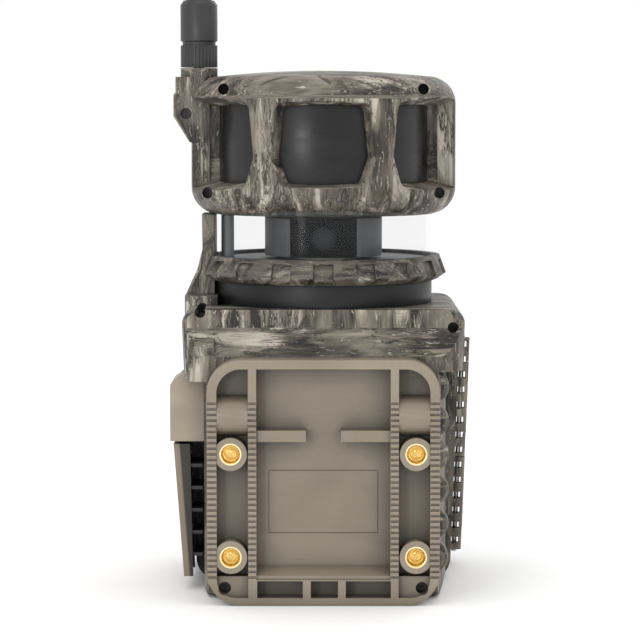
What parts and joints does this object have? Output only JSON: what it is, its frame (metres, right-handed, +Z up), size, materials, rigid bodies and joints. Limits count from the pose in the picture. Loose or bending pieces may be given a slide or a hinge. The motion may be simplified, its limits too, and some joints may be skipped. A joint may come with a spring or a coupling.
{
  "type": "trail camera",
  "caption": "Panoramic trail camera with a turning lens turret, motion-sensor head, whip antenna, hinged battery door and a tree-mount plate.",
  "frame": {"origin": "on the turret axis, on the flat bottom of the base", "axes": "+Z up towards the antenna's tip, -Y out of the battery door, +Y out of the tree-mount plate, +X towards the antenna and latch"},
  "size_m": [0.1231, 0.1139, 0.404],
  "materials": {
    "camo_shell": "camouflage film over moulded plastic, matt",
    "tan_plastic": "moulded tan plastic, fine grain",
    "infrared_black": "infrared-pass plastic, satin",
    "sensor_dark": "dark lens film, satin",
    "clear_window": "clear polycarbonate, polished",
    "turret_grey": "moulded grey plastic",
    "panel_black": "glossy black window",
    "lens_glass": "coated optical glass",
    "deck_grey": "moulded dark grey plastic",
    "black_plastic": "black plastic",
    "antenna_rubber": "rubber-covered whip",
    "seal_rubber": "silicone seal",
    "steel": "zinc-plated steel",
    "black_steel": "black-oxide steel",
    "brass": "turned brass",
    "circuit_board": "green solder mask",
    "led_plastic": "clear-tinted epoxy",
    "white_nylon": "natural nylon",
    "motor_steel": "plated motor can",
    "screen": "display glass",
    "key_rubber": "grey silicone keys",
    "cell_jacket": "battery jackets"
  },
  "bodies": {
    "housing": {"head_front_shell": "camo_shell", "head_rear_shell": "camo_shell", "head_seal": "seal_rubber", "head_screws": "black_steel", "antenna_mount": "tan_plastic", "sensor_windows": "sensor_dark", "sensor_bracket": "black_plastic", "motion_sensors": "steel", "head_board": "circuit_board", "antenna_connector": "brass", "collar_ring": "camo_shell", "spine_cover": "camo_shell", "deck_plate": "deck_grey", "turret_bearing": "white_nylon", "clear_window": "clear_window", "cable_conduit": "deck_grey", "infrared_band": "infrared_black", "led_board": "circuit_board", "infrared_leds": "led_plastic", "pan_motor": "motor_steel", "drive_plate": "deck_grey", "base_screws": "black_steel", "base_rear_shell": "camo_shell", "base_front_frame": "camo_shell", "door_seal": "seal_rubber", "hinge_pin": "steel", "latch_bracket": "tan_plastic", "latch_pin": "steel", "plate_inserts": "brass", "plate_screws": "black_steel", "tree_plate": "tan_plastic", "control_panel": "black_plastic", "display": "screen", "control_board": "circuit_board", "memory_card": "black_plastic", "main_board": "circuit_board", "cellular_module": "steel", "sim_holder": "steel", "battery_tray": "black_plastic", "tray_contacts": "steel", "aa_batteries": "cell_jacket", "tray_lid": "black_plastic"},
    "door": {"battery_door": "camo_shell"},
    "latch": {"latch_lever": "tan_plastic"},
    "turret": {"turret_body": "turret_grey", "turret_window": "panel_black", "lens_barrel": "black_plastic", "lens_glass": "lens_glass", "image_sensor_board": "circuit_board", "turret_gear": "white_nylon"},
    "pinion": {"motor_pinion": "white_nylon"},
    "antenna": {"antenna_nut": "black_plastic", "antenna_sleeve": "antenna_rubber", "antenna_whip": "antenna_rubber"},
    "ok_key": {"key_ok": "key_rubber"},
    "up_key": {"key_up": "key_rubber"},
    "down_key": {"key_down": "key_rubber"},
    "left_key": {"key_left": "key_rubber"},
    "right_key": {"key_right": "key_rubber"},
    "switch": {"switch_knob": "turret_grey"}
  },
  "joints": [
    {"name": "door_swing", "type": "hinge", "parent": "housing", "child": "door", "pos_m": [-0.0551, -0.03, 0], "axis": [0.0371, 0, -0.9993], "range_deg": [0, 115]},
    {"name": "latch_swing", "type": "hinge", "parent": "housing", "child": "latch", "pos_m": [0.0582, 0, 0.079], "axis": [0, -1, 0], "range_deg": [0, 100]},
    {"name": "turret_pan", "type": "hinge", "parent": "housing", "child": "turret", "pos_m": [0, 0, 0.14], "axis": [0, 0, 1], "range_deg": [-180, 180]},
    {"name": "pinion_spin", "type": "hinge", "parent": "housing", "child": "pinion", "pos_m": [-0.02097, -0.01468, 0.127], "axis": [0, 0, 1], "range_deg": [-700, 700]},
    {"name": "antenna_turn", "type": "hinge", "parent": "housing", "child": "antenna", "pos_m": [0.0505, 0, 0.21], "axis": [0, 0, 1], "range_deg": [0, 360]},
    {"name": "ok_press", "type": "slide", "parent": "housing", "child": "ok_key", "axis": [0, 1, 0], "range_m": [0, 0.0008], "stiffness_N_per_m": 500},
    {"name": "up_press", "type": "slide", "parent": "housing", "child": "up_key", "axis": [0, 1, 0], "range_m": [0, 0.0008], "stiffness_N_per_m": 500},
    {"name": "down_press", "type": "slide", "parent": "housing", "child": "down_key", "axis": [0, 1, 0], "range_m": [0, 0.0008], "stiffness_N_per_m": 500},
    {"name": "left_press", "type": "slide", "parent": "housing", "child": "left_key", "axis": [0, 1, 0], "range_m": [0, 0.0008], "stiffness_N_per_m": 500},
    {"name": "right_press", "type": "slide", "parent": "housing", "child": "right_key", "axis": [0, 1, 0], "range_m": [0, 0.0008], "stiffness_N_per_m": 500},
    {"name": "switch_slide", "type": "slide", "parent": "housing", "child": "switch", "axis": [1, 0, 0], "range_m": [0, 0.0075]}
  ],
  "couplings": [
    {"joint": "pinion_spin", "follows": "turret_pan", "ratio": -3.5714}
  ]
}
